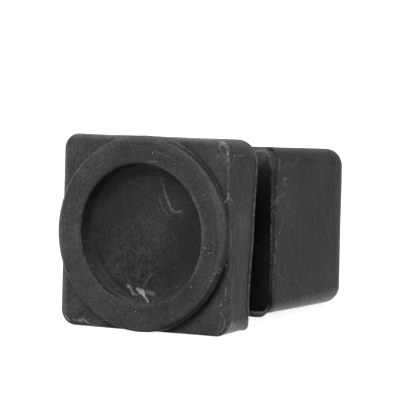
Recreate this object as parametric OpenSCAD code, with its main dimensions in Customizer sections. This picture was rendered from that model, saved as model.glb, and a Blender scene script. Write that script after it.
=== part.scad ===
// Rubber foot, moulded in one piece: a square plate with a round tread ring on its face,
// and behind it a tapered square plug that is pushed into a leg. A narrower neck joins the two.
// The foot lies on its side: the tread faces -Y, the plug points to +Y.
// The origin is on the axis of the tread ring, level with the plug's front face.

/* [Plate] */
// Side of the square plate at its front face
plate_side = 30; // [24:1:45]
// How far each side of the plate tapers in from front to back
plate_draft = 0.8; // [0:0.1:1.5]
// Thickness of the plate at its top edge
plate_thick_top = 9.7; // [6:0.1:14]
// Thickness of the plate at its bottom edge
plate_thick_bottom = 7.4; // [5:0.1:14]
// Radius of the plate's four corners at the front
plate_corner_r = 2.5; // [2:0.1:5]
// Bevel round the plate's front face
plate_edge = 0.4; // [0.1:0.1:1]

/* [Tread ring] */
// Outer diameter of the tread ring
tread_od = 30.2; // [23:0.1:46]
// Height of the tread ring above the plate
tread_h = 1.3; // [0.8:0.1:3]
// Rounding of the ring's outer edge
tread_edge_r = 0.5; // [0.1:0.1:0.7]
// Diameter of the round recess inside the ring
recess_d = 21.7; // [14:0.1:22]
// Depth of the recess, from the ring's face
recess_depth = 3; // [2:0.1:5]
// Rounding of the recess rim
recess_rim_r = 0.4; // [0.1:0.1:0.6]
// Rounding between the recess wall and its floor
recess_floor_r = 1; // [0.2:0.1:1.3]

/* [Neck] */
// Side of the square neck between plate and plug
neck_side = 16; // [10:0.5:18]
// Radius of the neck's corners
neck_corner_r = 2; // [0.5:0.5:4]
// Width of the groove round the neck, at the middle of its height
groove_w = 9.4; // [5:0.1:14]

/* [Plug] */
// Side of the square plug at its front, next to the groove
plug_front = 26.4; // [22:0.1:32]
// Side of the square plug at its rear end
plug_rear = 25.5; // [20:0.1:32]
// Length of the plug along its top
plug_len_top = 25.7; // [12:0.1:50]
// Length of the plug along its bottom
plug_len_bottom = 25.1; // [12:0.1:50]
// Radius of the plug's long corners
plug_corner_r = 2; // [1.5:0.1:4]
// Bevel round the plug's front face
plug_edge = 0.7; // [0.2:0.1:1.2]
// Rounding of the plug's rear edges
plug_end_r = 2.9; // [1:0.1:4]
// How far the plug sits below the middle of the plate
plug_drop = 0.4; // [0:0.1:1]
// Angle by which the plug tips down towards its rear end
plug_tip = 1.4; // [0:0.1:3]

/* [Hidden] */
$fn = 96;
hull_fn = 32;
rubber = [0.24, 0.24, 0.25];
plate_mid = (plate_thick_top + plate_thick_bottom) / 2;
plate_deepest = max(plate_thick_top, plate_thick_bottom);
back_lean = (plate_thick_top - plate_thick_bottom) / plate_side;
plate_y = -groove_w - plate_mid;
tread_y = plate_y - tread_h;
sink = 1.5; // how far the neck reaches into the plate and into the plug

// Stands what was drawn along Z along +Y
module along_y() {
    rotate([-90, 0, 0]) children();
}

// A square with round corners, in the XY plane
module rounded_square(side, r) {
    square([side, side - 2 * r], center = true);
    square([side - 2 * r, side], center = true);
    for (x = [-1, 1], y = [-1, 1])
        translate([x * (side / 2 - r), y * (side / 2 - r)]) circle(r);
}

// One pair of a slab's sides, from width a at the bottom to width b at height h
module tapered_band(a, b, h, across) {
    rotate([90, 0, 0])
        linear_extrude(across, center = true)
            polygon([[-a / 2, 0], [a / 2, 0], [b / 2, h], [-b / 2, h]]);
}

// A square slab of side a, corner radius r and height h, whose sides lean to side b at the top
module tapered_slab(a, b, r, h) {
    core = a - 2 * r;
    tapered_band(a, b, h, core);
    rotate([0, 0, 90]) tapered_band(a, b, h, core);
    for (x = [-1, 1], y = [-1, 1])
        translate([x * core / 2, y * core / 2]) cylinder(h = h, r1 = r, r2 = r - (a - b) / 2);
}

// The plate seen from the side: its back leans, so that one edge is thicker
module plate_side_profile() {
    reach = plate_side; // stands well clear of the plate's edges
    lean = back_lean * reach;
    rotate([90, 0, 90])
        linear_extrude(2 * reach, center = true)
            polygon([
                [plate_y, -reach],
                [plate_y, reach],
                [-groove_w + lean, reach],
                [-groove_w - lean, -reach]
            ]);
}

module plate() {
    front = plate_side - 2 * plate_edge;
    back = plate_side - 2 * plate_draft;
    intersection() {
        translate([0, plate_y, 0]) along_y() {
            tapered_slab(front, plate_side, plate_corner_r - plate_edge, plate_edge);
            translate([0, 0, plate_edge])
                tapered_slab(plate_side, back, plate_corner_r, plate_deepest + 1 - plate_edge);
        }
        plate_side_profile();
    }
}

// The ring's section, as radius and height above the plate's bevel
module tread_profile() {
    r = tread_od / 2;
    h = tread_h + plate_edge;
    square([r - tread_edge_r, h]);
    square([r, h - tread_edge_r]);
    translate([r - tread_edge_r, h - tread_edge_r]) circle(tread_edge_r);
}

module tread_ring() {
    translate([0, plate_y + plate_edge, 0])
        rotate([90, 0, 0])
            rotate_extrude() tread_profile();
}

// The recess's section: a rounded rim, a straight wall and a rounded foot
module recess_profile() {
    r = recess_d / 2;
    foot = recess_floor_r;
    rim = recess_rim_r;
    difference() {
        union() {
            square([r - foot, recess_depth]);
            translate([0, foot]) square([r, recess_depth - foot]);
            translate([r - foot, foot]) circle(foot);
            translate([0, recess_depth - rim]) square([r + rim, 2 * rim]);
        }
        translate([r + rim, recess_depth - rim]) circle(rim);
    }
}

module recess() {
    translate([0, tread_y + recess_depth, 0])
        rotate([90, 0, 0])
            rotate_extrude() recess_profile();
}

module neck() {
    translate([0, -groove_w - sink, 0])
        along_y()
            linear_extrude(groove_w + 2 * sink)
                rounded_square(neck_side, neck_corner_r);
}

// One corner of the plug: the bevelled front end and the ball that rounds the rear end
module plug_corner(x, z, length) {
    front = plug_front / 2 - plug_corner_r;
    rear = plug_rear / 2 - plug_end_r;
    translate([x * front, 0, z * front])
        along_y() cylinder(h = plug_edge, r1 = plug_corner_r - plug_edge, r2 = plug_corner_r, $fn = hull_fn);
    translate([x * rear, length - plug_end_r, z * rear])
        sphere(plug_end_r, $fn = hull_fn);
}

module plug() {
    hull()
        for (x = [-1, 1]) {
            plug_corner(x, 1, plug_len_top);
            plug_corner(x, -1, plug_len_bottom);
        }
}

// Lowers and tips the neck and the plug as they are set on the plate
module as_plug_sits() {
    translate([0, 0, -plug_drop])
        rotate([-plug_tip, 0, 0]) children();
}

module foot() {
    color(rubber)
        difference() {
            union() {
                plate();
                tread_ring();
                as_plug_sits() {
                    neck();
                    plug();
                }
            }
            recess();
        }
}

foot();
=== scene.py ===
import math

import bmesh
import bpy
from mathutils import Matrix, Vector, noise


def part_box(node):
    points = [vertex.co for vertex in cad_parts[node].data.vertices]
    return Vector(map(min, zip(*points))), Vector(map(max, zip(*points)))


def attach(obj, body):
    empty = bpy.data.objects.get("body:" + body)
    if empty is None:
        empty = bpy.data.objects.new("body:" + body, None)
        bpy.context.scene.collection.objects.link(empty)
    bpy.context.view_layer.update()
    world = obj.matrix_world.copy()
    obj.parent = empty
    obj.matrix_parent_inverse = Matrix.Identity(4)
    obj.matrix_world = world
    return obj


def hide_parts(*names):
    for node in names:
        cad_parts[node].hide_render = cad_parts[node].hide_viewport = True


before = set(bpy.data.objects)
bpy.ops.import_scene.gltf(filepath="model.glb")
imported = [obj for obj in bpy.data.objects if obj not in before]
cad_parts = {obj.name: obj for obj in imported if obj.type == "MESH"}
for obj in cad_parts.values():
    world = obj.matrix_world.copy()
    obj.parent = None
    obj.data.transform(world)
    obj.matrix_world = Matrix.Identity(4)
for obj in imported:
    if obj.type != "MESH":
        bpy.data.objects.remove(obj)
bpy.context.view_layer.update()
footLow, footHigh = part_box("foot")
mm = 0.001  # the shapes below are written in millimetres
print("frame loaded")


# the foot is one moulded skin, drawn as loops from the recess out over the ring, plate, neck and plug
foot = {
    "ringRadius": (footHigh.x - footLow.x) / 2 / mm,
    "ringFace": footLow.y / mm,
    "ringHeight": 1.3,
    "ringRound": 0.5,
    "ringBase": 0.3,  # soft corner between ring and plate
    "recessRadius": 10.85,
    "recessDepth": 3.0,
    "recessRim": 0.28,
    "recessFoot": 1.0,
    "plateHalf": 15.0,
    "plateCorner": 2.5,
    "plateBackCorner": 3.5,
    "plateEdge": 0.4,
    "plateDraft": 0.0777,  # the sides lean in by this much for each mm of depth
    "plateBack": -9.4,
    "plateLean": 0.0767,  # the back slopes, so the top edge is thicker
    "fade": 1.1,  # depth of the plate's side over which the wider ring fades into it
    "fadeInset": 0.08,  # where the ring has faded, it lies this far inside the plate's side
    "crowding": 1.8,  # loops on the plate's face crowd towards the ring
    "plateFlash": 0.13,  # thin ridge left by the mould along the back edge
    "ridgeFoot": 0.7,  # the ridge rises, levels out and ends this far before the back
    "ridgeTop": 0.4,
    "ridgeEnd": 0.2,
    "lowCornerLess": 2.6,  # the lower back corners are this much tighter
    "neckHalf": 8.0,
    "neckCorner": 2.0,
    "neckRound": 0.4,
    "plugHalf": 13.2,
    "plugRearHalf": 12.75,
    "plugCorner": 2.0,
    "plugFlash": 0.12,
    "plugRound": 2.9,
    "plugLength": 25.7,
    "plugShort": 0.5,  # the bottom of the plug ends this much earlier than the top
    "poleRadius": 0.5,  # the first and the last loop
    "floorDust": 0.073,  # how much of each surface the dust covers
    "wallDust": 0.07,
    "ringDust": 0.152,
    # the ring's wall and its foot on the plate are kept nearly clear, partly painted shade
    "ringWallDustAndShade": 0.02,
    "plateDust": 0.142,
    "sideDust": 0.03,
    "grooveDust": 0.012,
    "sideSteps": 72,  # points along each side of the outline
    "cornerSteps": 24,  # points round each corner
    "cornerSpread": math.radians(8.5),
}

# the wear layer also carries painted highlights, and the dust layer painted light and shade
layerNames = ("wear", "dust", "dull")
plateFace = foot["ringFace"] + foot["ringHeight"]
recessFloor = foot["ringFace"] + foot["recessDepth"]


def smooth(low, high, value):
    t = min(max((value - low) / (high - low), 0.0), 1.0)
    return t * t * (3 - 2 * t)


def outlineReach(angle, half, corner):
    # distance from the axis to a square with round corners, along a ray
    folded = abs((angle + math.pi / 4) % (math.pi / 2) - math.pi / 4)
    core = half - corner
    if half * math.tan(folded) <= core:
        return half / math.cos(folded)
    along = core * (math.cos(folded) + math.sin(folded))
    return along + math.sqrt(max(corner * corner - (2 * core * core - along * along), 0.0))


def outlineAngles():
    around, corners, sides = foot["cornerSpread"], foot["cornerSteps"], foot["sideSteps"]
    angles = []
    for quarter in range(4):
        middle = math.pi / 4 + quarter * math.pi / 2
        angles += [middle - around + 2 * around * i / corners for i in range(corners)]
        angles += [middle + around + (math.pi / 2 - 2 * around) * i / sides for i in range(sides)]
    return angles


def straight(track, count, **target):
    # loops in equal steps from the last one
    start = track[-1]
    for i in range(1, count + 1):
        step = dict(start)
        for key, value in target.items():
            step[key] = start[key] + (value - start[key]) * i / count
        track.append(step)


def turn(track, count, half, y, first, wear=0.0):
    # a quarter round: it sets off along "half" or along "y"
    start = track[-1]
    for i in range(1, count + 1):
        t = i / count * math.pi / 2
        quick, slow = math.sin(t), 1 - math.cos(t)
        shareHalf, shareY = (quick, slow) if first == "half" else (slow, quick)
        step = dict(start)
        step["half"] = start["half"] + (half - start["half"]) * shareHalf
        step["corner"] = max(start["corner"] + (half - start["half"]) * shareHalf, 0.02)
        step["y"] = start["y"] + (y - start["y"]) * shareY
        step["wear"] = wear * math.sin(math.pi * i / (count + 1))
        track.append(step)


def recessAndRing():
    f = foot
    track = [dict(half=f["poleRadius"], corner=f["poleRadius"], low=0.0, y=recessFloor, lean=0.0)]
    track[0].update(inset=0.0, rise=0.0, wear=0.0, flash=0.0, dust=f["floorDust"], route=None)
    rim = f["recessRadius"]
    straight(track, 14, half=rim - f["recessFoot"], corner=rim - f["recessFoot"])
    turn(track, 8, rim, recessFloor - f["recessFoot"], "half")
    straight(track, 6, y=f["ringFace"] + f["recessRim"], dust=f["wallDust"])
    turn(track, 6, rim + f["recessRim"], f["ringFace"], "y", wear=0.2)
    track[-1].update(wear=0.0, dust=f["ringDust"])
    outer = f["ringRadius"] - f["ringRound"]
    straight(track, 12, half=outer, corner=outer)
    turn(track, 8, f["ringRadius"], f["ringFace"] + f["ringRound"], "half", wear=0.1)
    track[-1].update(wear=0.0, dust=f["ringWallDustAndShade"])
    return track


def plateReach(angle, y):
    # the plate's outline at this depth: its rounded front edge, then its leaning side
    edge = foot["plateEdge"]
    depth = y - plateFace
    inset = (depth - edge) * foot["plateDraft"]
    if depth < edge:
        inset = edge - math.sqrt(max(edge * edge - (edge - depth) ** 2, 0.0))
    return outlineReach(angle, foot["plateHalf"] - inset, foot["plateCorner"] - inset)


def ringFade(y):
    # the ring is a little wider than the plate: halfway along each side its wall runs on and fades
    faded = smooth(plateFace + 0.1, plateFace + foot["fade"], y)
    return foot["ringRadius"] + (foot["plateHalf"] - foot["fadeInset"] - foot["ringRadius"]) * faded


def overFace(angle, share):
    # down the ring's wall, round its base and out to the plate's edge
    width = max(plateReach(angle, plateFace) - foot["ringRadius"], 0.0)
    base = min(foot["ringBase"], width)
    wall, bend, flat = foot["ringBase"] - base, base * math.pi / 2, width - base
    way = (wall + bend + flat) * share ** foot["crowding"]
    if way < wall:
        return foot["ringRadius"], plateFace - foot["ringBase"] + way
    if way < wall + bend:
        t = (way - wall) / base
        return foot["ringRadius"] + base * (1 - math.cos(t)), plateFace - base * (1 - math.sin(t))
    return foot["ringRadius"] + base + way - wall - bend, plateFace


def overEdge(angle, share):
    y = plateFace + foot["plateEdge"] * (1 - math.cos(share * math.pi / 2))
    return max(plateReach(angle, y), ringFade(y)), y


def overSide(angle, share):
    y = plateFace + foot["plateEdge"] + (foot["fade"] - foot["plateEdge"]) * share
    return max(plateReach(angle, y), ringFade(y)), y


def ringToPlate(ringEnd):
    track = [ringEnd]
    straight(track, 3, y=plateFace - foot["ringBase"])
    faceDust, sideDust = foot["plateDust"], foot["sideDust"]
    for route, count, wear in ((overFace, 18, 0.0), (overEdge, 8, 0.25), (overSide, 4, 0.0)):
        for i in range(1, count + 1):
            edgeWear = wear * math.sin(math.pi * i / (count + 1)) ** 6  # all of it on the crest
            dust = sideDust if route is overSide else faceDust
            # painted shade: the ring's foot on the plate keeps the wall's low dust
            if route is overFace and i <= 3:
                dust = foot["ringWallDustAndShade"]
            track.append(dict(track[-1], route=route, share=i / count, wear=edgeWear, dust=dust))
    return track[1:]


def plateSideAndBack(last):
    f = foot
    start = plateFace + f["fade"]
    leanedIn = (f["fade"] - f["plateEdge"]) * f["plateDraft"]
    half, corner, back = f["plateHalf"] - leanedIn, f["plateCorner"] - leanedIn, f["plateBack"]
    track = [dict(last, route=None, y=start, half=half, corner=corner)]
    end = back - f["ridgeFoot"]
    half, corner = half - (end - start) * f["plateDraft"], f["plateBackCorner"]
    straight(track, 22, y=end, lean=f["plateLean"], half=half, corner=corner, low=f["lowCornerLess"])
    # painted highlight along the ridge's crest, laid through the wear layer
    ridge, ridgeCorner = half + f["plateFlash"], corner + f["plateFlash"]
    straight(track, 3, y=back - f["ridgeTop"], half=ridge, corner=ridgeCorner, wear=1.0)
    straight(track, 2, y=back - f["ridgeEnd"])
    turn(track, 5, ridge - f["ridgeEnd"], back, "y", wear=0.6)
    track[-1].update(wear=0.0, dust=f["grooveDust"])
    half, corner = f["neckHalf"] + f["neckRound"], f["neckCorner"] + f["neckRound"]
    straight(track, 10, half=half, corner=corner, low=0.0)
    turn(track, 5, f["neckHalf"], back + f["neckRound"], "half")
    return track[1:]


def neckAndPlug(last):
    f = foot
    track = [last]
    straight(track, 12, y=-f["neckRound"], lean=0.0)
    turn(track, 5, f["neckHalf"] + f["neckRound"], 0.0, "y")
    half, corner, rib = f["plugHalf"], f["plugCorner"], f["plugFlash"]
    # the front face out to its skin of flash, then the bevel with a pale line at each end
    straight(track, 8, half=half - 3 * rib, corner=corner - 3 * rib, inset=1.0)
    straight(track, 3, half=half - rib, corner=corner - rib, flash=1.0, wear=1.0)
    straight(track, 2, half=half, corner=corner)
    straight(track, 1, inset=0.95, rise=0.05, flash=0.0, wear=0.35, dust=0.04)
    straight(track, 1, inset=0.8, rise=0.2, wear=0.05, dust=0.01)
    straight(track, 5, inset=0.12, rise=0.88)
    straight(track, 1, inset=0.0, rise=1.0, wear=0.9)
    # the plug's sides, its rounded rear edges and its rear face
    rearHalf, bend = f["plugRearHalf"], f["plugRound"]
    middleEnd = f["plugLength"] - f["plugShort"] / 2
    lean = f["plugShort"] / 2 / rearHalf
    straight(track, 1, y=0.12, wear=0.1, dust=f["sideDust"])
    straight(track, 2, y=1.6, rise=0.0)
    straight(track, 38, half=rearHalf, corner=bend, y=middleEnd - bend, lean=lean, wear=0.0)
    turn(track, 12, rearHalf - bend, middleEnd, "y")
    straight(track, 10, half=f["poleRadius"], corner=f["poleRadius"])
    return track[1:]


# the plug's front bevel: its least size, then how much it grows from one height to another
bevelInset = (0.18, [(0.45, 8.6, 12.0)])
bevelRise = (0.15, [(0.65, -6.5, -2.5), (0.5, 1.5, 4.5), (0.25, 8.4, 10.5)])


def bevelAt(z, size):
    least, growth = size
    return least + sum(amount * smooth(low, high, z) for amount, low, high in growth)


# rubber skin left along the plug's front edge
torn = {
    "skinHeight": 0.06,
    "skinWaver": 0.05,
    "bitHeight": 0.34,
    "tabPlace": 10.3,
    "tabHalf": 2.4,
    "tabDrop": 0.7,
    "nibPlace": 12.7,
    "nibHalf": 0.5,
    "nibRise": 0.5,
    "rootPaintedLight": 5.0,
    "tabEdgePaintedLight": 0.4,
    "tabPaintedLight": 0.7,
}


def tabAndNib(x, z):
    # a thin tab hangs from the edge at the bottom, and a nib stands up at the top corner
    tab, nib = 0.0, 0.0
    if z < -11:
        tab = torn["tabDrop"] * max(1 - ((x - torn["tabPlace"]) / torn["tabHalf"]) ** 2, 0.0) ** 0.5
    if z > 11:
        nib = torn["nibRise"] * max(1 - abs(x - torn["nibPlace"]) / torn["nibHalf"], 0.0)
    return tab, nib


def skinHeight(x, z):
    # a low wavering skin, torn into bits along the right side
    height = torn["skinHeight"] + torn["skinWaver"] * noise.noise(Vector((x * 0.6, z * 0.6, 3.1)))
    if x > 0:
        share = smooth(6.5, 5.0, z) * smooth(-9.5, -7.5, z) * smooth(9.0, 11.0, x)
        bits = noise.noise(Vector((x, z * 2.3, 7.7))) + 0.5 * noise.noise(Vector((x, z * 5.1, 1.7)))
        height += share * torn["bitHeight"] * max(bits + 0.15, 0.0)
    return height


def placeLoop(verts, station, layers):
    for vert in verts:
        angle = math.atan2(vert.co.z, vert.co.x)
        if station["route"]:
            reach, y = station["route"](angle, station["share"])
        else:
            corner = station["corner"] - (station["low"] if vert.co.z < 0 else 0.0)
            reach, y = outlineReach(angle, station["half"], corner), station["y"]
        if station["inset"] + station["rise"] > 0:
            height = reach * math.sin(angle)
            inset = station["inset"] * bevelAt(height, bevelInset)
            reach = outlineReach(angle, station["half"] - inset, station["corner"] - inset)
            y += station["rise"] * bevelAt(height, bevelRise)
        x, z = reach * math.cos(angle), reach * math.sin(angle)
        if station["flash"] > 0:
            y -= station["flash"] * skinHeight(x, z)
            tab, nib = tabAndNib(x, z)
            z += station["flash"] * (nib - tab)
        vert.co = Vector((x, y + station["lean"] * z, z))
        vert[layers["wear"]] = station["wear"]
        vert[layers["dust"]] = station["dust"]
        if station["flash"] > 0 and tab > 0:
            # painted light from below on the tab, most along its root
            vert[layers["wear"]] = torn["rootPaintedLight"] if station["flash"] < 0.5 else torn["tabEdgePaintedLight"]
            vert[layers["dust"]] = torn["tabPaintedLight"] * min(tab / 0.3, 1.0)


def footForm():
    form = bmesh.new()
    layers = {name: form.verts.layers.float.new(name) for name in layerNames}
    angles = outlineAngles()
    disc = bmesh.ops.create_circle(form, cap_ends=True, cap_tris=True, segments=len(angles), radius=1.0)
    rimVerts = [vert for vert in disc["verts"] if vert.is_boundary]
    rimVerts.sort(key=lambda vert: math.atan2(vert.co.y, vert.co.x) % (2 * math.pi))
    for vert, angle in zip(rimVerts, sorted(a % (2 * math.pi) for a in angles)):
        vert.co = Vector((math.cos(angle), 0.0, math.sin(angle)))
    middle = [vert for vert in disc["verts"] if not vert.is_boundary][0]
    middle.co = Vector((0.0, recessFloor, 0.0))

    stations = recessAndRing()
    stations += ringToPlate(stations[-1])
    stations += plateSideAndBack(stations[-1])
    stations += neckAndPlug(stations[-1])

    placeLoop(rimVerts, stations[0], layers)
    middle[layers["dust"]] = stations[0]["dust"]
    edges = [edge for edge in form.edges if edge.is_boundary]
    for station in stations[1:]:
        made = bmesh.ops.extrude_edge_only(form, edges=edges)["geom"]
        verts = [item for item in made if isinstance(item, bmesh.types.BMVert)]
        edges = [item for item in made if isinstance(item, bmesh.types.BMEdge) and item.is_boundary]
        placeLoop(verts, station, layers)
    bmesh.ops.extrude_edge_only(form, edges=edges)
    lastLoop = [vert for vert in form.verts if vert.is_boundary]
    endMiddle = Vector((0.0, stations[-1]["y"], 0.0))
    bmesh.ops.pointmerge(form, verts=lastLoop, merge_co=endMiddle)
    return form


# how the soft moulding has set out of true: turns in radians, the rest in mm or shares
setting = {
    "plugTwist": -0.017,
    "plugPitch": 0.025,
    "plugYaw": -0.011,
    "plugShift": -0.47,
    "plugDrop": 0.34,
    "plateNarrowing": 0.0145,
    "plateStretch": 0.01,
    "bowOut": 0.32,
    "fallAway": 0.66,
    "waves": 0.05,
    "waveLength": 7.0,
    "ripples": 0.012,
    "rippleLength": 1.4,
}


def backBend(x, z):
    # the right of the plate's back face bows out at the top and falls away at the bottom
    bow = setting["bowOut"] * smooth(2.0, 12.0, z) - setting["fallAway"] * smooth(2.0, -10.0, z)
    return bow * smooth(-14.0, 12.0, x)


def settle(form):
    s, back = setting, foot["plateBack"]
    for vert in form.verts:
        x, y, z = vert.co
        y += backBend(x, z) * smooth(plateFace + 1.0, back, y) * smooth(-4.0, back + 0.5, y)
        plug = smooth(back, 0.0, y)
        plate = 1 - plug
        plateX = x * (1 + s["plateStretch"] - s["plateNarrowing"] * z / foot["plateHalf"])
        plateZ = z + s["plateStretch"] * (z - foot["plateHalf"]) / 2
        plugX = x + s["plugTwist"] * z - s["plugYaw"] * y + s["plugShift"]
        plugZ = z - s["plugTwist"] * x - s["plugPitch"] * y - s["plugDrop"]
        vert.co.x = plateX * plate + plugX * plug
        vert.co.y = y + (s["plugPitch"] * z + s["plugYaw"] * x) * plug
        vert.co.z = plateZ * plate + plugZ * plug
    form.normal_update()
    for vert in form.verts:
        wave = s["waves"] * noise.noise(vert.co / s["waveLength"])
        ripple = s["ripples"] * noise.noise(vert.co / s["rippleLength"])
        vert.co += vert.normal * (wave + ripple)


# where dust lies thicker or thinner: amount, radius and centre
dustPatches = [
    (0.03, 5.0, (0.0, recessFloor, 0.5)),
    (0.015, 4.0, (-2.0, recessFloor, -6.0)),
    (0.022, 4.0, (-7.0, recessFloor, -7.0)),
    (0.025, 1.8, (1.0, recessFloor, -0.3)),
    (-0.035, 3.0, (6.8, recessFloor, -1.8)),
    (-0.025, 2.5, (4.6, recessFloor, -6.0)),
    (-0.02, 2.5, (8.8, recessFloor, 2.5)),
    (0.045, 6.0, (-13.0, foot["ringFace"], 1.0)),
    (-0.025, 7.0, (3.0, foot["ringFace"], -13.0)),
    (-0.025, 6.0, (10.0, foot["ringFace"], -8.0)),
    (0.03, 5.0, (-14.0, plateFace, 14.0)),
    (0.025, 3.0, (14.0, plateFace, 13.0)),
    (0.05, 2.6, (15.0, -15.0, 1.8)),
    (0.05, 2.6, (15.0, -12.0, 2.4)),
    (0.05, 4.0, (12.7, 4.5, 5.0)),
    (0.03, 3.5, (12.7, 18.0, 9.0)),
    (0.03, 3.5, (12.7, 18.0, -7.0)),
    # the last three: paler at the top of the plug's front face, darker next to the nib
    (0.24, 1.9, (10.4, 0.2, 12.2)),
    (-0.35, 0.4, (11.0, 1.4, 12.9)),
    (-0.35, 0.3, (11.4, 1.3, 12.6)),
]


# zones of the skin: what is measured, where the zone begins and where it is full
recessZone = [("radius", 11.5, 11.2), ("depth", 5.25, 3.25)]
recessWallZone = recessZone + [("turned", 0.5, 0.95)]
plateFaceZone = [("radius", 14.9, 15.3), ("depth", 1.15, 1.3), ("depth", 2.15, 1.75)]
sidesZone = [("depth", 1.75, 2.25), ("recess", 1.0, 0.0)]
zones = {
    "skin": [],
    "recess": recessZone,
    "recessWall": recessWallZone,
    "recessBend": recessZone + [("radius", 9.7, 10.0), ("radius", 10.75, 10.6)],
    "underRim": recessWallZone + [("depth", 0.95, 0.55), ("x", -8.8, -7.6), ("x", -1.6, -2.8)],
    "recessRim": [("radius", 10.85, 10.95), ("radius", 11.15, 11.0), ("depth", 0.35, 0.15)],
    "tread": [("depth", 0.35, 0.15)],
    "ringRounding": [("radius", 14.4, 14.8), ("depth", 0.65, 0.35)],
    "ringWall": [("radius", 14.7, 15.0), ("depth", 0.25, 0.65), ("depth", 1.35, 1.25)],
    "front": [("depth", 2.25, 1.95)],
    "plateFace": plateFaceZone,
    "plateBevel": plateFaceZone + [("turned", 0.05, 0.4)],
    "sides": sidesZone,
    "plateSides": sidesZone + [("y", -9.0, -9.3)],
    "plateBackEdge": [("y", -9.7, -9.3), ("y", -7.9, -8.2)],
    "bottoms": sidesZone + [("up", 0.02, -0.4), ("across", 9.0, 11.0)],
    "groove": [("y", -9.3, -9.0), ("y", 0.6, 0.4), ("reach", 12.7, 12.3)],
    "plugEdge": [("y", -1.0, -0.5), ("y", 2.5, 2.0)],
    "plugSides": [("y", 0.8, 1.2)],
}


def measureSpot(vert):
    x, y, z = vert.co
    radius = math.hypot(x, z)
    spot = {
        "at": vert.co,
        "x": x,
        "y": y,
        "z": z,
        "radius": radius,
        "depth": y - foot["ringFace"],  # behind the tread's face
        "low": -z / max(radius, 1.0),  # 1 straight below the axis, -1 straight above it
        "leftward": -x / max(radius, 1.0),
        "across": abs(x),
        "reach": max(abs(x), abs(z)),
        "topLeft": max(-x, z),
        "topRight": x + z,
        "lowRight": x - z,
        "up": vert.normal.z,  # how far the skin faces up, left and away from the front
        "left": -vert.normal.x,
        "turned": 1 + vert.normal.y,
    }
    spot["recess"] = shareWithin(spot, recessZone)
    return spot


def shareWithin(spot, limits):
    share = 1.0
    for measure, begin, full in limits:
        share *= smooth(begin, full, spot[measure])
        if share == 0:
            break
    return share


def ofItself(part):
    return lambda spot, value: part * value


def upFacingPaintedLight(spot, value):
    # painted light: the recess wall is paler the more it faces up, and most deep down
    return 0.15 * max(spot["low"], 0.0) * (0.3 + 0.7 * smooth(0.35, 1.45, spot["depth"]))


def raggedRimShadow(spot, value):
    return -0.18 * (0.7 + noise.noise(spot["at"] * 1.3))


def bottomFloorReflection(spot, value):
    # painted reflection of the floor: the bottoms are paler than the sides, the plate's most, and least
    # next to the groove
    lowest = smooth(-0.5, -0.95, spot["up"])
    plate = smooth(-9.0, -10.0, spot["y"])
    clear = 1 - 0.8 * smooth(-9.3, -9.0, spot["y"]) * smooth(1.2, 0.8, spot["y"])
    return clear * (0.24 + 0.25 * lowest + plate * (0.2 + 0.6 * lowest))


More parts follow.
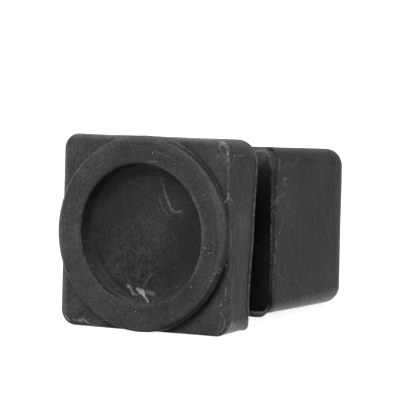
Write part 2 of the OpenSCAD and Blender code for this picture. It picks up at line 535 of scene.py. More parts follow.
# each rule in turn adds an amount, in a zone and within further limits
dustAndPaintedLightRules = [
    # the recess: its wall is toned by which way it faces, painted light and shade, darkest at the upper
    # left
    (ofItself(-1.0), "recessWall", []),
    (0.045, "recessWall", []),
    (0.04, "recessWall", [("low", -0.2, -0.7)]),
    (0.08, "recessWall", [("low", -0.6, -0.05)]),
    (upFacingPaintedLight, "recessWall", []),
    # painted shadow of the rim on the floor at the upper left
    (ofItself(-0.35), "recess", [("radius", 7.6, 9.6), ("z", 3.0, 7.0), ("x", 3.0, -3.0)]),
    # paler near the rim at the lower left, and painted light near the rim at the upper right, where the
    # rim shades the floor
    (0.045, "recess", [("radius", 8.4, 9.8), ("low", 0.3, 0.9), ("x", -6.0, -1.0)]),
    (0.03, "recess", [("radius", 7.5, 9.8), ("low", 0.1, 0.6), ("x", 0.0, -5.0)]),
    (0.035, "recess", [("radius", 7.0, 9.5), ("low", -0.2, -0.7), ("x", -3.0, 2.0)]),
    # painted shade where the floor bends up at the lower left, and a ragged painted shadow under the rim
    # there
    (-0.05, "recessBend", [("low", 0.0, 0.5), ("x", 0.0, -4.0)]),
    (raggedRimShadow, "underRim", [("z", 0.0, -2.0)]),
    # the tread: painted highlight on its right inner rim, paler in a band near its outer edge at the upper
    # right, and painted glow along its outer edge at the left and the top
    (0.14, "tread", [("radius", 10.9, 11.1), ("radius", 11.8, 11.35), ("x", 8.5, 10.0)]),
    (0.05, "tread", [("radius", 13.9, 14.3), ("topRight", 0.0, 8.0)]),
    (0.06, "tread", [("x", -13.4, -14.6)]),
    (0.16, "tread", [("x", -14.2, -14.7)]),
    (0.09, "tread", [("z", 13.9, 14.7)]),
    # the ring's rounding: painted glow at the left, painted highlights at the top and upper right, painted
    # shade where it faces up at the upper left and at its lower right; painted light on its wall where it
    # faces up, and a little at the lower right
    (0.6, "ringRounding", [("leftward", 0.86, 0.96), ("left", 0.05, 0.4)]),
    (0.16, "ringRounding", [("up", 0.1, 0.7), ("low", -0.93, -0.98)]),
    (0.2, "ringRounding", [("up", 0.1, 0.7), ("x", 3.0, 8.0)]),
    (-0.1, "ringRounding", [("up", 0.1, 0.7)]),
    (-0.11, "ringRounding", [("lowRight", 16.0, 20.0)]),
    (0.14, "ringWall", [("up", -0.1, 0.4)]),
    (0.025, "ringWall", [("lowRight", 16.0, 20.0)]),
    # painted glow and reflection: the plate's face is paler towards its left and top edges, and its front
    # bevel all round, most at the left
    (0.14, "plateFace", [("topLeft", 13.7, 15.1)]),
    (0.12, "plateFace", [("topLeft", 14.1, 14.7)]),
    (0.8, "plateBevel", [("left", 0.1, 0.8)]),
    (0.4, "plateBevel", [("up", 0.1, 0.8)]),
    (0.4, "plateBevel", [("up", -0.1, -0.8)]),
    # painted reflection and highlight: the bottoms, lower right sides and corner, tops, the plate's back
    # edge and the plug's rear are paler
    (bottomFloorReflection, "bottoms", []),
    (0.04, "plateSides", [("z", -8.0, -11.5), ("x", 9.0, 11.0)]),
    (0.04, "plugSides", [("z", -8.0, -11.5), ("x", 9.0, 11.0)]),
    (0.24, "sides", [("y", -9.0, -9.6), ("z", -12.4, -13.3), ("x", 13.5, 14.4)]),
    (0.08, "sides", [("up", 0.45, 1.0), ("z", 12.0, 12.8)]),
    (0.15, "plateBackEdge", [("up", 0.1, 0.4), ("radius", 13.5, 14.0)]),
    (0.16, "sides", [("y", 20.5, 24.5), ("x", 9.0, 11.5)]),
    # the groove is a little less dark towards the bottom
    (0.055, "groove", [("z", 3.0, -5.0)]),
]

wearRules = [
    # the lower half of the recess rim shows light, most in the middle
    (0.7, "recessRim", [("z", 3.0, -2.0)]),
    (0.2, "recessRim", [("z", 3.0, -2.0), ("x", -5.0, -1.0), ("x", 7.0, 3.0)]),
    # the plate's front edge is rubbed most at the upper right and lower left, least along the top
    (ofItself(0.3), "front", [("x", 14.2, 14.6), ("z", 5.0, 6.5)]),
    (ofItself(1.2), "front", [("x", -10.0, -13.0), ("z", -10.0, -13.0)]),
    (ofItself(-0.6), "front", [("z", 12.4, 13.2)]),
    # the plug's front edge is rubbed less at its two right corners
    (ofItself(-0.6), "plugEdge", [("x", 11.5, 12.2), ("z", 5.0, 8.0)]),
    (ofItself(-0.8), "plugEdge", [("x", 11.0, 12.2), ("z", -8.5, -10.5)]),
]

# upper edges are dull, lower ones smooth
dullRules = [
    (0.4, "skin", [("up", 0.2, 0.6)]),
    (-1.0, "sides", [("up", -0.4, -0.9)]),
]


def followRules(value, rules, spot, shares):
    for amount, zone, limits in rules:
        share = shares[zone] and shares[zone] * shareWithin(spot, limits)
        if share > 0:
            value += share * (amount(spot, value) if callable(amount) else amount)
    return value


def patchDust(spot):
    # patches on the tread don't reach down into the recess
    total = 0.0
    sunk = spot["radius"] < 11.2 and spot["depth"] > 0.3
    for amount, reach, centre in dustPatches:
        if sunk and centre[1] == foot["ringFace"]:
            continue
        away = (spot["at"] - Vector(centre)).length / reach
        total += amount * math.exp(-away * away)
    return total


def layDustAndPaintedLight(form):
    wear, dust, dull = [form.verts.layers.float[name] for name in layerNames]
    for vert in form.verts:
        spot = measureSpot(vert)
        shares = {name: shareWithin(spot, limits) for name, limits in zones.items()}
        vert[dust] = max(followRules(vert[dust] + patchDust(spot), dustAndPaintedLightRules, spot, shares), 0.0)
        vert[wear] = followRules(vert[wear], wearRules, spot, shares)
        vert[dull] = followRules(vert[dull], dullRules, spot, shares)


def makeFoot():
    form = footForm()
    settle(form)
    layDustAndPaintedLight(form)
    bmesh.ops.remove_doubles(form, verts=form.verts, dist=0.0001)
    bmesh.ops.recalc_face_normals(form, faces=form.faces)
    bmesh.ops.scale(form, verts=form.verts, vec=Vector((mm, mm, mm)))
    for face in form.faces:
        face.smooth = True
    mesh = bpy.data.meshes.new("footSkin")
    form.to_mesh(mesh)
    form.free()
    skin = bpy.data.objects.new("footSkin", mesh)
    bpy.context.scene.collection.objects.link(skin)
    return skin


footSkin = makeFoot()
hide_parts("foot")
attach(footSkin, "root")
print("foot modelled:", len(footSkin.data.polygons), "faces")


# the rubber is black, greyed by dust and by painted light and shade, with scuffs, scratches and specks
rubber = {
    "clean": (0.0083, 0.0081, 0.0076, 1.0),
    # the dusty grey also serves painted light and shade, and chalk also painted highlights
    "dustAndPaintedLightGrey": (0.25, 0.25, 0.253, 1.0),
    "chalkAndHighlight": (0.46, 0.46, 0.47, 1.0),
    "tan": (0.46, 0.34, 0.2, 1.0),
    "tanAbove": 0.88,  # specks with a higher tone than this are tan
    "roughness": 0.22,
    "dustRoughness": 0.4,
    "dullRoughness": 0.35,
    "specular": 0.035,
    "waveScale": 0.8,
    "poreScale": 3.1,
    "poreShare": 0.7,
    "bumpDepth": 0.00006,
}

# noise by place: scale, detail and roughness, then the edges that become the levels
patterns = {
    "banks": (0.22, 3.0, 0.55, (0.3, 0.7), (0.8, 1.2)),
    "mottle": (1.7, 4.0, 0.65, (0.3, 0.7), (-1.0, 1.0)),
    "grain": (5.4, 3.0, 0.7, (0.38, 0.72), None),  # its levels differ by place
    "nicks": (2.5, 4.0, 0.7, (0.4, 0.66), (0.1, 1.0)),
    "arcs": (1.0, 2.0, 0.55, (0.5, 0.7), (0.0, 1.0)),
    "rubs": (1.0, 2.0, 0.55, (0.35, 0.68), (-0.005, 0.012)),
    "broken": (4.4, 3.0, 0.6, (0.38, 0.58), (0.1, 1.1)),
    "streaky": (3.6, 3.0, 0.6, (0.36, 0.58), (0.4, 1.0)),
}

# loose specks in the cells of a grid: how many cells hold one, its size, and its paleness by its tone
crumbs = {"scale": 1.5, "share": 0.55, "size": 0.14, "power": 4.0, "gain": 0.7, "least": 0.15}
motes = {"scale": 3.0, "share": 0.7, "size": 0.11, "power": 3.0, "gain": 0.6, "least": 0.12}

# where the marked surfaces lie; a mark's distance from the skin counts for little
frontDepths = {"floor": recessFloor, "ring": foot["ringFace"], "face": plateFace}
sideDepths = {"plateSide": 14.8, "plugSide": 12.6}
flatFront = Vector((1.0, 0.15, 1.0))
flatSide = Vector((0.15, 1.0, 1.0))

# strength, half width in mm and points: (x, z) on the front, (y, z) on the sides
floorMarks = [
    (0.07, 0.24, [(1.9, 8.5), (2.2, 7.6), (2.5, 6.6)]),
    (0.12, 0.32, [(2.5, 6.6), (2.9, 5.6), (3.3, 4.9)]),
    (0.16, 0.32, [(3.3, 4.9), (3.8, 3.9), (4.3, 3.4)]),
    (0.14, 0.24, [(4.3, 3.4), (4.8, 3.4), (5.6, 3.6)]),
    (0.05, 0.26, [(1.5, 5.7), (1.8, 4.9), (2.1, 4.1), (2.6, 3.4), (3.3, 2.8)]),
    (0.42, 0.34, [(-3.9, -8.5), (-3.5, -8.8)]),
    (0.32, 0.28, [(-3.5, -8.8), (-2.9, -9.7)]),
    (0.14, 0.32, [(-2.9, -9.7), (-2.3, -9.8)]),
    (0.42, 0.34, [(-2.2, -9.0), (-1.2, -9.1)]),
    (0.72, 0.44, [(-1.7, -9.3), (-1.1, -9.6)]),
    (0.62, 0.28, [(-1.1, -9.2), (-0.9, -10.0)]),
    (0.42, 0.2, [(-0.9, -10.0), (-0.4, -10.4), (0.0, -10.8)]),
    (0.15, 0.45, [(-0.4, -9.3), (0.7, -9.5)]),
    (0.1, 0.22, [(0.4, -6.4), (-0.3, -7.3), (-1.0, -8.3)]),
    (0.08, 0.14, [(-3.2, 0.9), (-3.2, 0.1)]),
]

ringMarks = [
    (0.6, 0.1, [(1.3, -13.1), (1.35, -13.1)]),
    (0.4, 0.12, [(6.1, 11.0), (6.15, 11.0)]),
    (0.4, 0.12, [(9.4, -7.6), (9.4, -7.7)]),
    (0.6, 0.1, [(12.4, -2.3), (12.4, -2.4)]),
    (0.5, 0.1, [(11.8, -2.6), (11.9, -2.6)]),
    (0.45, 0.1, [(11.9, -0.8), (11.9, -0.9)]),
    (0.65, 0.12, [(13.3, -5.3), (13.5, -5.4)]),
    (0.5, 0.1, [(14.1, -5.2), (14.1, -5.1)]),
    (0.45, 0.1, [(14.4, -4.8), (14.3, -4.6)]),
    (0.5, 0.1, [(12.7, -6.4), (12.9, -6.5)]),
    (0.08, 0.25, [(1.7, 11.1), (2.4, 11.3), (3.0, 11.2)]),
]

faceMarks = [
    (0.38, 0.36, [(13.5, 14.45), (13.6, 14.2)]),
    (0.24, 0.17, [(12.95, 14.6), (13.3, 14.55)]),
    (0.22, 0.18, [(13.25, 14.1), (13.3, 13.5)]),
    (0.3, 0.15, [(13.85, 14.45), (14.1, 14.25)]),
    (0.24, 0.18, [(13.85, 14.15), (14.1, 13.9)]),
    (0.16, 0.15, [(14.4, 13.6), (14.45, 13.5)]),
    (0.36, 0.17, [(14.62, 13.1), (14.72, 12.65)]),
    (0.2, 0.13, [(13.7, 13.05), (14.35, 12.35)]),
    (0.28, 0.14, [(14.78, 12.2), (14.78, 11.7)]),
    (0.2, 0.14, [(14.3, 11.65), (14.35, 11.6)]),
    # a painted highlight along the plate's right front edge
    (0.1, 0.11, [(14.8, 10.9), (14.85, 8.8), (14.8, 7.4)]),
    (0.08, 0.2, [(12.7, 12.1), (13.2, 12.6)]),
    (0.04, 0.2, [(13.0, 9.8), (13.5, 10.5)]),
    (0.4, 0.14, [(14.85, 6.8), (14.85, 6.0)]),
    (0.3, 0.14, [(14.3, 5.5), (14.85, 6.0)]),
    # flash bits round the lower right corner, partly painted edge highlights
    (0.2, 0.13, [(14.75, -7.4), (14.75, -8.9)]),
    (0.14, 0.12, [(14.5, -9.2), (14.85, -9.5)]),
    (0.14, 0.13, [(14.2, -9.5), (13.9, -10.1)]),
    (0.4, 0.2, [(13.9, -10.1), (13.7, -10.3)]),
    (0.16, 0.14, [(14.15, -10.8), (14.2, -10.9)]),
    (0.3, 0.17, [(13.85, -11.4), (14.05, -11.7)]),
    (0.2, 0.17, [(14.6, -12.4), (14.45, -13.6)]),
    (0.22, 0.13, [(14.45, -13.6), (13.9, -14.3), (13.3, -14.65)]),
    (0.12, 0.12, [(14.0, -12.7), (13.5, -13.9), (13.1, -14.4)]),
    (0.14, 0.14, [(12.8, -12.9), (12.9, -12.9)]),
    (0.45, 0.14, [(-14.4, -13.8), (-13.6, -14.5)]),
    (0.12, 0.3, [(-12.9, -14.2), (-12.4, -14.3)]),
    (0.2, 0.34, [(-11.9, -14.3), (-11.3, -14.35)]),
    (0.65, 0.2, [(-11.6, -14.4), (-11.55, -14.35)]),
    (0.34, 0.24, [(-10.7, -14.25), (-10.2, -14.6)]),
    (0.18, 0.3, [(-11.3, -14.0), (-10.8, -14.2)]),
    (0.12, 0.16, [(-10.2, -14.7), (-8.4, -14.85)]),
]

# painted shade: dark lines in creases, where light is lost
creaseShadeLines = [
    (0.55, 0.13, [(-10.95, -12.65), (-11.3, -13.1), (-11.7, -13.45), (-12.35, -13.85)]),
    (0.55, 0.13, [(-12.35, -13.85), (-12.85, -14.05)]),
    (0.5, 0.16, [(13.95, 14.4), (14.0, 14.2)]),
    (0.4, 0.16, [(14.4, 13.4), (14.45, 13.35)]),
]

plateMarks = [
    (0.3, 0.17, [(-16.35, 12.3), (-15.75, 12.5)]),
    (0.15, 0.15, [(-15.0, 12.4), (-13.1, 12.4)]),
    (0.1, 0.14, [(-16.95, 11.2), (-16.7, 11.8), (-14.9, 12.0)]),
    (0.34, 0.15, [(-17.6, 6.0), (-16.8, 5.5)]),
    (0.05, 0.14, [(-9.6, 6.0), (-14.1, 4.7)]),
    (0.08, 0.75, [(-16.9, -6.5), (-17.0, -9.4), (-16.9, -13.2)]),
    (0.12, 0.14, [(-17.0, -7.2), (-17.2, -9.0)]),
    (0.07, 0.13, [(-16.5, -9.0), (-15.1, -8.5)]),
]

plugMarks = [
    (0.07, 0.16, [(2.2, 9.4), (4.2, 10.3)]),
    (0.1, 0.15, [(6.6, 10.1), (9.0, 11.3)]),
    (0.06, 0.15, [(4.3, 10.6), (5.5, 10.3), (6.4, 9.6)]),
    (0.07, 0.15, [(7.4, 9.7), (6.8, 9.1), (7.3, 8.5)]),
    (0.3, 0.2, [(4.4, 8.0), (3.6, 8.0), (3.8, 7.6)]),
    (0.16, 0.16, [(3.8, 7.6), (3.3, 7.5)]),
    (0.32, 0.2, [(4.0, 7.1), (4.1, 7.0)]),
    (0.1, 0.13, [(0.9, 11.6), (1.2, 11.2)]),
    (0.2, 0.22, [(1.5, 6.9), (1.2, 6.5)]),
    (0.34, 0.2, [(1.4, 5.1), (1.3, 4.8)]),
    (0.1, 0.18, [(1.5, 5.0), (3.9, 5.7)]),
    (0.3, 0.16, [(3.6, 5.3), (3.7, 5.2)]),
    (0.16, 0.14, [(0.3, 4.1), (0.9, 4.4), (1.2, 4.1)]),
    (0.14, 0.13, [(0.4, 4.6), (1.2, 4.7)]),
    (0.12, 0.14, [(5.0, 4.2), (4.8, 3.7)]),
    (0.22, 0.18, [(4.8, 3.6), (4.7, 3.2)]),
    (0.08, 0.14, [(6.9, 2.7), (7.2, 2.3), (6.8, 2.2), (6.9, 2.7)]),
    (0.16, 0.14, [(0.2, 3.1), (0.9, 2.6), (0.6, 2.3)]),
    (0.07, 0.2, [(3.1, 1.9), (3.1, 0.6)]),
    (0.16, 0.16, [(3.1, 1.4), (3.1, 1.2)]),
    (0.22, 0.2, [(2.2, -0.3), (2.0, -0.6)]),
    (0.1, 0.14, [(6.4, 0.7), (5.9, 0.3)]),
    (0.22, 0.16, [(1.0, -0.9), (1.1, -1.1)]),
    (0.22, 0.22, [(0.8, -1.6), (1.1, -2.3), (0.8, -2.7)]),
    (0.26, 0.16, [(0.3, -3.9), (0.35, -4.0)]),
    (0.26, 0.18, [(0.6, -4.3), (0.8, -4.9), (0.6, -5.3)]),
    (0.2, 0.14, [(1.6, -5.3), (1.65, -5.4)]),
    (0.14, 0.14, [(1.3, -6.2), (1.35, -6.3)]),
    (0.14, 0.14, [(0.2, -6.4), (0.7, -6.7)]),
    (0.32, 0.18, [(1.7, -6.9), (1.9, -7.1)]),
    (0.14, 0.15, [(1.9, -7.1), (2.7, -7.6), (3.5, -8.0)]),
    (0.12, 0.16, [(4.3, -8.0), (4.1, -8.2)]),
    (0.06, 0.15, [(5.9, -8.3), (8.3, -8.5)]),
    (0.06, 0.2, [(4.3, -6.2), (4.1, -7.2)]),
    (0.06, 0.16, [(5.4, -5.9), (6.3, -5.4)]),
    (0.18, 0.15, [(0.2, -8.0), (0.0, -8.5)]),
    (0.16, 0.18, [(1.7, -9.5), (1.8, -9.5)]),
    (0.1, 0.3, [(21.8, 5.0), (22.1, 4.3)]),
]


def newTree(name):
    material = bpy.data.materials.new(name)
    material.use_nodes = True
    return material, material.node_tree


def feed(tree, socket, value):
    if isinstance(value, bpy.types.NodeSocket):
        tree.links.new(value, socket)
    else:
        socket.default_value = value


def calc(tree, operation, *values):
    node = tree.nodes.new("ShaderNodeMath")
    node.operation = operation
    for socket, value in zip(node.inputs, values):
        feed(tree, socket, value)
    return node.outputs[0]


def product(tree, *values):
    result = values[0]
    for value in values[1:]:
        result = calc(tree, "MULTIPLY", result, value)
    return result


def timesPlus(tree, value, factor, extra):
    return calc(tree, "MULTIPLY_ADD", value, factor, extra)


def lessen(tree, value, share, amount):
    return product(tree, value, timesPlus(tree, share, -amount, 1.0))


def keepShare(tree, value, most=1.0):
    node = tree.nodes.new("ShaderNodeClamp")
    node.inputs["Max"].default_value = most
    feed(tree, node.inputs["Value"], value)
    return node.outputs[0]


def turnVector(tree, operation, *values):
    node = tree.nodes.new("ShaderNodeVectorMath")
    node.operation = operation
    sockets = [node.inputs[0], node.inputs["Scale"]] if operation == "SCALE" else node.inputs
    for socket, value in zip(sockets, values):
        feed(tree, socket, value)
    isNumber = operation in ("DOT_PRODUCT", "DISTANCE", "LENGTH")
    return node.outputs["Value" if isNumber else "Vector"]


def spread(tree, value, low, high, newLow=0.0, newHigh=1.0):
    node = tree.nodes.new("ShaderNodeMapRange")
    node.interpolation_type = "SMOOTHSTEP"
    node.clamp = False
    for name, number in (("From Min", low), ("From Max", high), ("To Min", newLow), ("To Max", newHigh)):
        feed(tree, node.inputs[name], number)
    feed(tree, node.inputs["Value"], value)
    return node.outputs["Result"]


def cloud(tree, place, scale, detail, roughness=0.55):
    node = tree.nodes.new("ShaderNodeTexNoise")
    for name, number in (("Scale", scale), ("Detail", detail), ("Roughness", roughness)):
        node.inputs[name].default_value = number
    tree.links.new(place, node.inputs["Vector"])
    return node.outputs["Fac"]


def blendColours(tree, share, under, over):
    node = tree.nodes.new("ShaderNodeMix")
    node.data_type = "RGBA"
    node.clamp_factor = False
    feed(tree, node.inputs["Factor"], share)
    feed(tree, node.inputs["A"], under)
    feed(tree, node.inputs["B"], over)
    return [socket for socket in node.outputs if socket.type == "RGBA"][0]


def makeStroke():
    # 1 on the line between two points, falling to 0 at its width
    group = bpy.data.node_groups.new("stroke", "ShaderNodeTree")
    for name in ("Place", "From", "To"):
        group.interface.new_socket(name, in_out="INPUT", socket_type="NodeSocketVector")
    group.interface.new_socket("Width", in_out="INPUT", socket_type="NodeSocketFloat")
    group.interface.new_socket("Mask", in_out="OUTPUT", socket_type="NodeSocketFloat")
    given = group.nodes.new("NodeGroupInput").outputs
    result = group.nodes.new("NodeGroupOutput").inputs
    along = turnVector(group, "SUBTRACT", given["To"], given["From"])
    reached = turnVector(group, "SUBTRACT", given["Place"], given["From"])
    dots = [turnVector(group, "DOT_PRODUCT", vector, along) for vector in (reached, along)]
    share = keepShare(group, calc(group, "DIVIDE", *dots))
    nearest = turnVector(group, "SCALE", along, share)
    away = turnVector(group, "DISTANCE", reached, nearest)
    inner = calc(group, "MULTIPLY", given["Width"], 0.35)
    group.links.new(spread(group, away, inner, given["Width"], 1.0, 0.0), result["Mask"])
    return group


def onSurface(surface, point):
    if surface in frontDepths:
        return Vector((point[0], frontDepths[surface], point[1]))
    return Vector((sideDepths[surface], point[0], point[1]))


def drawMarks(tree, stroke, place, marks, squash):
    flattened = turnVector(tree, "MULTIPLY", place, squash)
    total = None
    for surface, strokes in marks.items():
        for strength, width, points in strokes:
            for start, end in zip(points, points[1:]):
                node = tree.nodes.new("ShaderNodeGroup")
                node.node_tree = stroke
                tree.links.new(flattened, node.inputs["Place"])
                for name, point in (("From", start), ("To", end)):
                    node.inputs[name].default_value = onSurface(surface, point) * squash
                node.inputs["Width"].default_value = width
                mask = product(tree, node.outputs["Mask"], strength)
                total = mask if total is None else calc(tree, "MAXIMUM", total, mask)
    return total


def scatterSpecks(tree, place, kind):
    cells = tree.nodes.new("ShaderNodeTexVoronoi")
    cells.inputs["Scale"].default_value = kind["scale"]
    tree.links.new(place, cells.inputs["Vector"])
    parts = tree.nodes.new("ShaderNodeSeparateColor")
    tree.links.new(cells.outputs["Color"], parts.inputs[0])
    held = calc(tree, "LESS_THAN", parts.outputs[0], kind["share"])
    radius = timesPlus(tree, parts.outputs[1], kind["size"], kind["size"] * 0.5)
    dot = spread(tree, calc(tree, "DIVIDE", cells.outputs["Distance"], radius), 0.5, 1.0, 1.0, 0.0)
    return product(tree, dot, held), parts.outputs[2]


def speckLevel(tree, tone, kind):
    return timesPlus(tree, calc(tree, "POWER", tone, kind["power"]), kind["gain"], kind["least"])


def measurePlace(tree):
    # the place in mm, its parts, and how far it lies from the axis and behind the tread's face
    coords = tree.nodes.new("ShaderNodeTexCoord")
    place = turnVector(tree, "SCALE", coords.outputs["Object"], 1 / mm)
    parts = tree.nodes.new("ShaderNodeSeparateXYZ")
    tree.links.new(place, parts.inputs[0])
    across = turnVector(tree, "MULTIPLY", place, Vector((1.0, 0.0, 1.0)))
    at = {"place": place, "x": parts.outputs[0], "y": parts.outputs[1], "z": parts.outputs[2]}
    at["radius"] = turnVector(tree, "LENGTH", across)
    at["depth"] = calc(tree, "SUBTRACT", at["y"], foot["ringFace"])
    at["slant"] = timesPlus(tree, at["x"], -0.7, at["z"])  # falls towards the lower right
    at["topRight"] = calc(tree, "ADD", at["x"], at["z"])
    return at


def stepsWithin(tree, at, limits):
    # the same limits as in the zones of the skin
    share = None
    for measure, begin, full in limits:
        step = spread(tree, at[measure], begin, full)
        share = step if share is None else product(tree, share, step)
    return share


def fromPoint(tree, place, point, *levels):
    return spread(tree, turnVector(tree, "DISTANCE", place, Vector(point)), *levels)


def pattern(tree, place, name, levels=None):
    scale, detail, roughness, edges, usualLevels = patterns[name]
    return spread(tree, cloud(tree, place, scale, detail, roughness), *edges, *(levels or usualLevels))


def mixFilm(tree, at, dust):
    # dust lies in clouds, mottled low in the recess, with a fine grain that is coarser on the tread
    place, tread = at["place"], at["tread"]
    banks = pattern(tree, place, "banks")
    lump = fromPoint(tree, place, (-2.5, recessFloor, -5.0), 7.0, 2.5, 0.2, 0.6)
    mottle = timesPlus(tree, pattern(tree, place, "mottle"), lump, 1.0)
    least = timesPlus(tree, tread, -0.2, 0.7)
    most = timesPlus(tree, tread, 0.25, 1.35)
    grain = pattern(tree, place, "grain", (least, most))
    return product(tree, dust, banks, mottle, grain)


def paintRingFootShade(tree, at, paintedLightAndDustFilm):
    # painted shade along the ring's foot, widest at its lower right, where the ring shades the plate
    atFoot = stepsWithin(tree, at, [("depth", 0.95, 1.17)])
    wallToo = stepsWithin(tree, at, [("depth", 0.65, 1.05), ("slant", -4.0, -9.0)])
    reaching = calc(tree, "MAXIMUM", atFoot, wallToo)
    around = [("radius", 15.9, 15.4), ("radius", 13.5, 14.5), ("depth", 1.55, 1.4), ("slant", 9.0, 4.0)]
    footCreaseShade = product(tree, stepsWithin(tree, at, around), reaching)
    paintedLightAndDustFilm = lessen(tree, paintedLightAndDustFilm, footCreaseShade, 0.65)
    besideFootShade = [("radius", 16.9, 15.3), ("radius", 14.9, 15.2), ("depth", 1.55, 1.4), ("slant", -8.0, -13.0)]
    return lessen(tree, paintedLightAndDustFilm, stepsWithin(tree, at, besideFootShade), 0.45)


def addTurnedScratches(tree, at, dustWearAndPaintedLight):
    # round scratches on the tread, from turning on a floor
    rings = tree.nodes.new("ShaderNodeCombineXYZ")
    for socket, measure, factor in zip(rings.inputs, ("radius", "x", "z"), (5.5, 0.1, 0.1)):
        tree.links.new(product(tree, at[measure], factor), socket)
    arcs = pattern(tree, rings.outputs[0], "arcs")
    band = stepsWithin(tree, at, [("radius", 12.4, 13.4), ("radius", 14.95, 14.6), ("depth", 0.25, 0.05)])
    upperRight = spread(tree, at["topRight"], -6.0, 8.0, 0.25, 1.0)
    return timesPlus(tree, product(tree, arcs, band, upperRight), 0.12, dustWearAndPaintedLight)


def addRubs(tree, at, dustWearAndPaintedLight):
    # upright rubs on the plug
    rubs = turnVector(tree, "MULTIPLY", at["place"], Vector((0.2, 2.2, 0.13)))
    streaks = pattern(tree, rubs, "rubs")
    return keepShare(tree, timesPlus(tree, streaks, at["plug"], dustWearAndPaintedLight), 1.6)


def wanderingPlace(tree, place):
    # strokes don't run quite straight
    wander = tree.nodes.new("ShaderNodeTexNoise")
    wander.inputs["Scale"].default_value = 1.6
    tree.links.new(place, wander.inputs["Vector"])
    centred = turnVector(tree, "SUBTRACT", wander.outputs["Color"], Vector((0.5, 0.5, 0.5)))
    return turnVector(tree, "ADD", place, turnVector(tree, "SCALE", centred, 0.25))


def paleMarks(tree, place, stroke, nearby):
    front = drawMarks(tree, stroke, nearby, {"ring": ringMarks, "face": faceMarks}, flatFront)
    side = drawMarks(tree, stroke, nearby, {"plateSide": plateMarks, "plugSide": plugMarks}, flatSide)
    broken = pattern(tree, place, "broken")
    marks = product(tree, calc(tree, "MAXIMUM", front, side), broken)
    rubbed = drawMarks(tree, stroke, nearby, {"floor": floorMarks}, flatFront)
    rubbed = product(tree, rubbed, pattern(tree, place, "streaky"))
    return keepShare(tree, calc(tree, "MAXIMUM", marks, rubbed))


def looseSpecks(tree, at, dust):
    # specks lie where dust does, more of them on the tread and most at its right
    place = at["place"]
    large, largeTone = scatterSpecks(tree, place, crumbs)
    small, smallTone = scatterSpecks(tree, place, motes)
    held = timesPlus(tree, at["plug"], 0.4, spread(tree, dust, 0.01, 0.12))
    onRing = spread(tree, at["radius"], 10.9, 11.3, -0.4, 1.7)
    onRing = timesPlus(tree, at["tread"], onRing, 0.9)
    crowd = fromPoint(tree, place, (12.2, foot["ringFace"], -3.5), 6.5, 2.0, 1.0, 2.2)
    large = product(tree, large, held, speckLevel(tree, largeTone, crumbs), onRing, crowd)
    small = product(tree, small, held, speckLevel(tree, smallTone, motes), onRing)
    return calc(tree, "MAXIMUM", large, small), largeTone


def makeRubber():
    material, tree = newTree("mouldedRubber")
    shader = tree.nodes["Principled BSDF"]
    wearAndHighlightNode, dustAndPaintedLightNode, dullNode = [tree.nodes.new("ShaderNodeAttribute") for name in layerNames]
    wearAndHighlightNode.attribute_name, dustAndPaintedLightNode.attribute_name, dullNode.attribute_name = layerNames
    dust = dustAndPaintedLightNode.outputs["Fac"]
    at = measurePlace(tree)
    place = at["place"]
    at["tread"] = stepsWithin(tree, at, [("radius", 15.2, 15.0), ("depth", 5.25, 3.75)])
    at["plug"] = spread(tree, at["y"], 1.0, 2.0)

    paintedLightAndDustFilm = paintRingFootShade(tree, at, mixFilm(tree, at, dust))
    wearAndHighlightShare = product(tree, wearAndHighlightNode.outputs["Fac"], pattern(tree, place, "nicks"), 0.4)
    dustWearAndPaintedLight = addTurnedScratches(tree, at, calc(tree, "ADD", paintedLightAndDustFilm, wearAndHighlightShare))
    dustWearAndPaintedLight = addRubs(tree, at, dustWearAndPaintedLight)

    nearby = wanderingPlace(tree, place)
    stroke = makeStroke()
    marks = paleMarks(tree, place, stroke, nearby)
    loose, tone = looseSpecks(tree, at, dust)
    lost = drawMarks(tree, stroke, nearby, {"face": creaseShadeLines}, flatFront)
    dustWearAndPaintedLight = lessen(tree, dustWearAndPaintedLight, lost, 1.0)

    # dust, wear and painted light and shade turn the clean black towards pale grey
    colour = blendColours(tree, dustWearAndPaintedLight, rubber["clean"], rubber["dustAndPaintedLightGrey"])
    isTan = calc(tree, "GREATER_THAN", tone, rubber["tanAbove"])
    colour = blendColours(tree, loose, colour, blendColours(tree, isTan, rubber["chalkAndHighlight"], rubber["tan"]))
    colour = blendColours(tree, marks, colour, rubber["chalkAndHighlight"])
    tree.links.new(colour, shader.inputs["Base Color"])
    roughness = timesPlus(tree, dustWearAndPaintedLight, rubber["dustRoughness"], rubber["roughness"])
    roughness = timesPlus(tree, dullNode.outputs["Fac"], rubber["dullRoughness"], roughness)
    tree.links.new(roughness, shader.inputs["Roughness"])
    shader.inputs["Specular IOR Level"].default_value = rubber["specular"]

    waves = cloud(tree, place, rubber["waveScale"], 2.0)
    pores = cloud(tree, place, rubber["poreScale"], 3.0, 0.6)
    bump = tree.nodes.new("ShaderNodeBump")
    bump.inputs["Distance"].default_value = rubber["bumpDepth"]
    tree.links.new(timesPlus(tree, pores, rubber["poreShare"], waves), bump.inputs["Height"])
    tree.links.new(bump.outputs[0], shader.inputs["Normal"])
    return material


footSkin.data.materials.append(makeRubber())
print("rubber mixed")


view = {
    "aim": Vector((8.28, -12.721, 4.014)) * mm,
    "distance": 416.1 * mm,
    "turned": math.radians(30.616),
    "raised": math.radians(4.037),
    "rolled": math.radians(0.79),
    "lens": 233.55,
}


def makeCamera():
    data = bpy.data.cameras.new("camera")
    data.lens = view["lens"]
    data.sensor_width = 36.0
    data.clip_start = 0.01
    camera = bpy.data.objects.new("camera", data)
    bpy.context.scene.collection.objects.link(camera)
    turned = Matrix.Rotation(view["turned"], 4, "Z")
    tipped = Matrix.Rotation(math.pi / 2 - view["raised"], 4, "X")
    rolled = Matrix.Rotation(view["rolled"], 4, "Z")
    facing = turned @ tipped @ rolled
    away = facing @ Vector((0.0, 0.0, view["distance"]))
    camera.matrix_world = Matrix.Translation(view["aim"] + away) @ facing
    bpy.context.scene.camera = camera


makeCamera()
print("camera set")


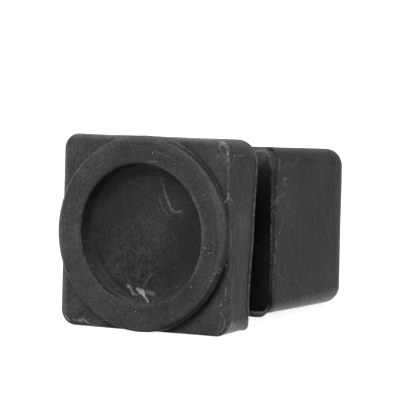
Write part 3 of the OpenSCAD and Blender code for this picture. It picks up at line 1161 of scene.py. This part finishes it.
studio = {
    "floorSize": 6.0,
    "worldLight": 0.2,
    "white": (1.0, 1.0, 1.0, 1.0),
    "floorColour": (0.66, 0.66, 0.67, 1.0),
    "floorGlow": 0.88,
}

# bearing and height in degrees, distance and size in metres, level where the foot lies
lamps = {
    "key": {"bearing": 10, "height": 40, "distance": 1.4, "size": 0.9, "level": 1.05},
    "low": {"bearing": 112, "height": 10, "distance": 1.2, "size": 0.6, "level": 0.46},
    "fill": {"bearing": 265, "height": 25, "distance": 1.2, "size": 0.6, "level": 0.6},
}


def restingFloor(skin):
    # the plane that touches the plate or its ring at the front, and the plug's rear end, from below
    points = [vert.co for vert in skin.data.vertices]
    plate = [p for p in points if p.y < foot["plateBack"] * mm]
    front = min(plate, key=lambda p: p.z)
    rear = min((p for p in points if p.y > 0), key=lambda p: (p.z - front.z) / (p.y - front.y))
    slope = (rear.z - front.z) / (rear.y - front.y)
    return min(plate, key=lambda p: p.z - slope * p.y), slope


def cameraSees(tree):
    # 1 for rays from the camera, and for those that gloss or clear stuff sends on
    path = tree.nodes.new("ShaderNodeLightPath").outputs
    seen = calc(tree, "MAXIMUM", path["Is Camera Ray"], path["Is Glossy Ray"])
    return calc(tree, "MAXIMUM", seen, path["Is Transmission Ray"])


def makeFloor():
    front, slope = restingFloor(footSkin)
    bpy.ops.mesh.primitive_plane_add(size=studio["floorSize"], location=(0, front.y, front.z))
    floor = bpy.context.object
    floor.name = "floor"
    floor.rotation_euler.x = math.atan(slope)
    material, tree = newTree("paleFloor")
    tree.nodes.clear()
    output = tree.nodes.new("ShaderNodeOutputMaterial")
    matt = tree.nodes.new("ShaderNodeBsdfDiffuse")
    matt.inputs["Color"].default_value = studio["floorColour"]
    glow = tree.nodes.new("ShaderNodeEmission")
    strength = product(tree, cameraSees(tree), studio["floorGlow"])
    tree.links.new(strength, glow.inputs["Strength"])
    both = tree.nodes.new("ShaderNodeAddShader")
    tree.links.new(matt.outputs[0], both.inputs[0])
    tree.links.new(glow.outputs[0], both.inputs[1])
    tree.links.new(both.outputs[0], output.inputs["Surface"])
    floor.data.materials.append(material)
    print("floor slope in degrees:", round(math.degrees(math.atan(slope)), 2))


def makeWorld():
    world = bpy.data.worlds.new("studio")
    bpy.context.scene.world = world
    world.use_nodes = True
    tree = world.node_tree
    background = tree.nodes["Background"]
    background.inputs["Color"].default_value = studio["white"]
    unseen = studio["worldLight"]
    strength = timesPlus(tree, cameraSees(tree), 1 - unseen, unseen)
    tree.links.new(strength, background.inputs["Strength"])


def makeLamp(name, lamp):
    data = bpy.data.lights.new(name, "AREA")
    data.shape = "DISK"
    data.size = lamp["size"]
    data.energy = lamp["level"] * (math.pi * lamp["distance"]) ** 2
    holder = bpy.data.objects.new(name, data)
    bpy.context.scene.collection.objects.link(holder)
    bearing, height = math.radians(lamp["bearing"]), math.radians(lamp["height"])
    level = math.cos(height)
    towards = Vector((math.sin(bearing) * level, -math.cos(bearing) * level, math.sin(height)))
    holder.location = towards * lamp["distance"]
    holder.rotation_euler = towards.to_track_quat("Z", "Y").to_euler()


makeFloor()
makeWorld()
for name, lamp in lamps.items():
    makeLamp(name, lamp)
bpy.context.scene.view_settings.view_transform = "Standard"
print("studio lit")
